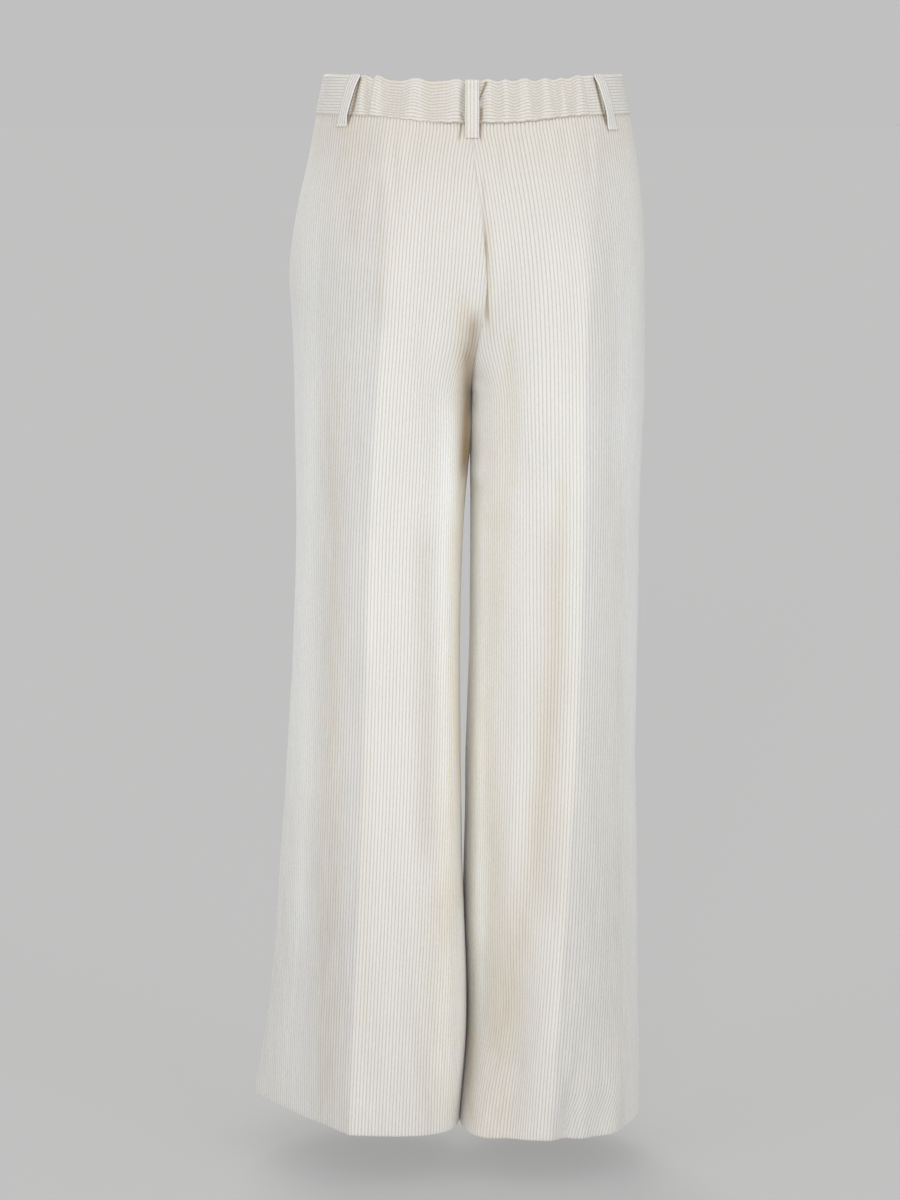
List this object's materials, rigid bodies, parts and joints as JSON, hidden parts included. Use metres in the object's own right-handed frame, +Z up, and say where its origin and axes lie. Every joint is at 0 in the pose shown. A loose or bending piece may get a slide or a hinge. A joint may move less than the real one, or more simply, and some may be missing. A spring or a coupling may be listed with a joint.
{
  "type": "wide-leg corduroy trousers",
  "caption": "Long wide-leg corduroy trousers with an elastic back waistband, belt loops, a button fly placket over a zip, open hems and a hollow worn form.",
  "frame": {"origin": "middle of the waist, at half the height of the waistband, where the wearer's waist holds the trousers up", "axes": "+Z up along the worn trousers; +X to the wearer's left; -Y to the front, so the back faces +Y"},
  "size_m": [0.4167, 0.2495, 1.1058],
  "materials": {
    "corduroy": "wide-wale cotton corduroy, cream",
    "band_corduroy": "the same corduroy cut across, so its wales lie level",
    "button_horn": "horn-coloured, semi-gloss",
    "zip_tape": "woven tape",
    "zip_metal": "nickel-plated"
  },
  "bodies": {
    "root": {"back_left": "corduroy", "back_right": "corduroy", "front_left": "corduroy", "front_right": "corduroy", "waistband_back": "band_corduroy", "waistband_front_left": "band_corduroy", "waistband_front_right": "band_corduroy", "belt_loop_back": "band_corduroy", "belt_loop_side_left": "band_corduroy", "belt_loop_side_right": "band_corduroy", "belt_loop_front_left": "band_corduroy", "belt_loop_front_right": "band_corduroy", "fly_placket": "corduroy", "fly_zip": "zip_tape", "zip_slider": "zip_metal", "button": "button_horn"}
  },
  "joints": []
}
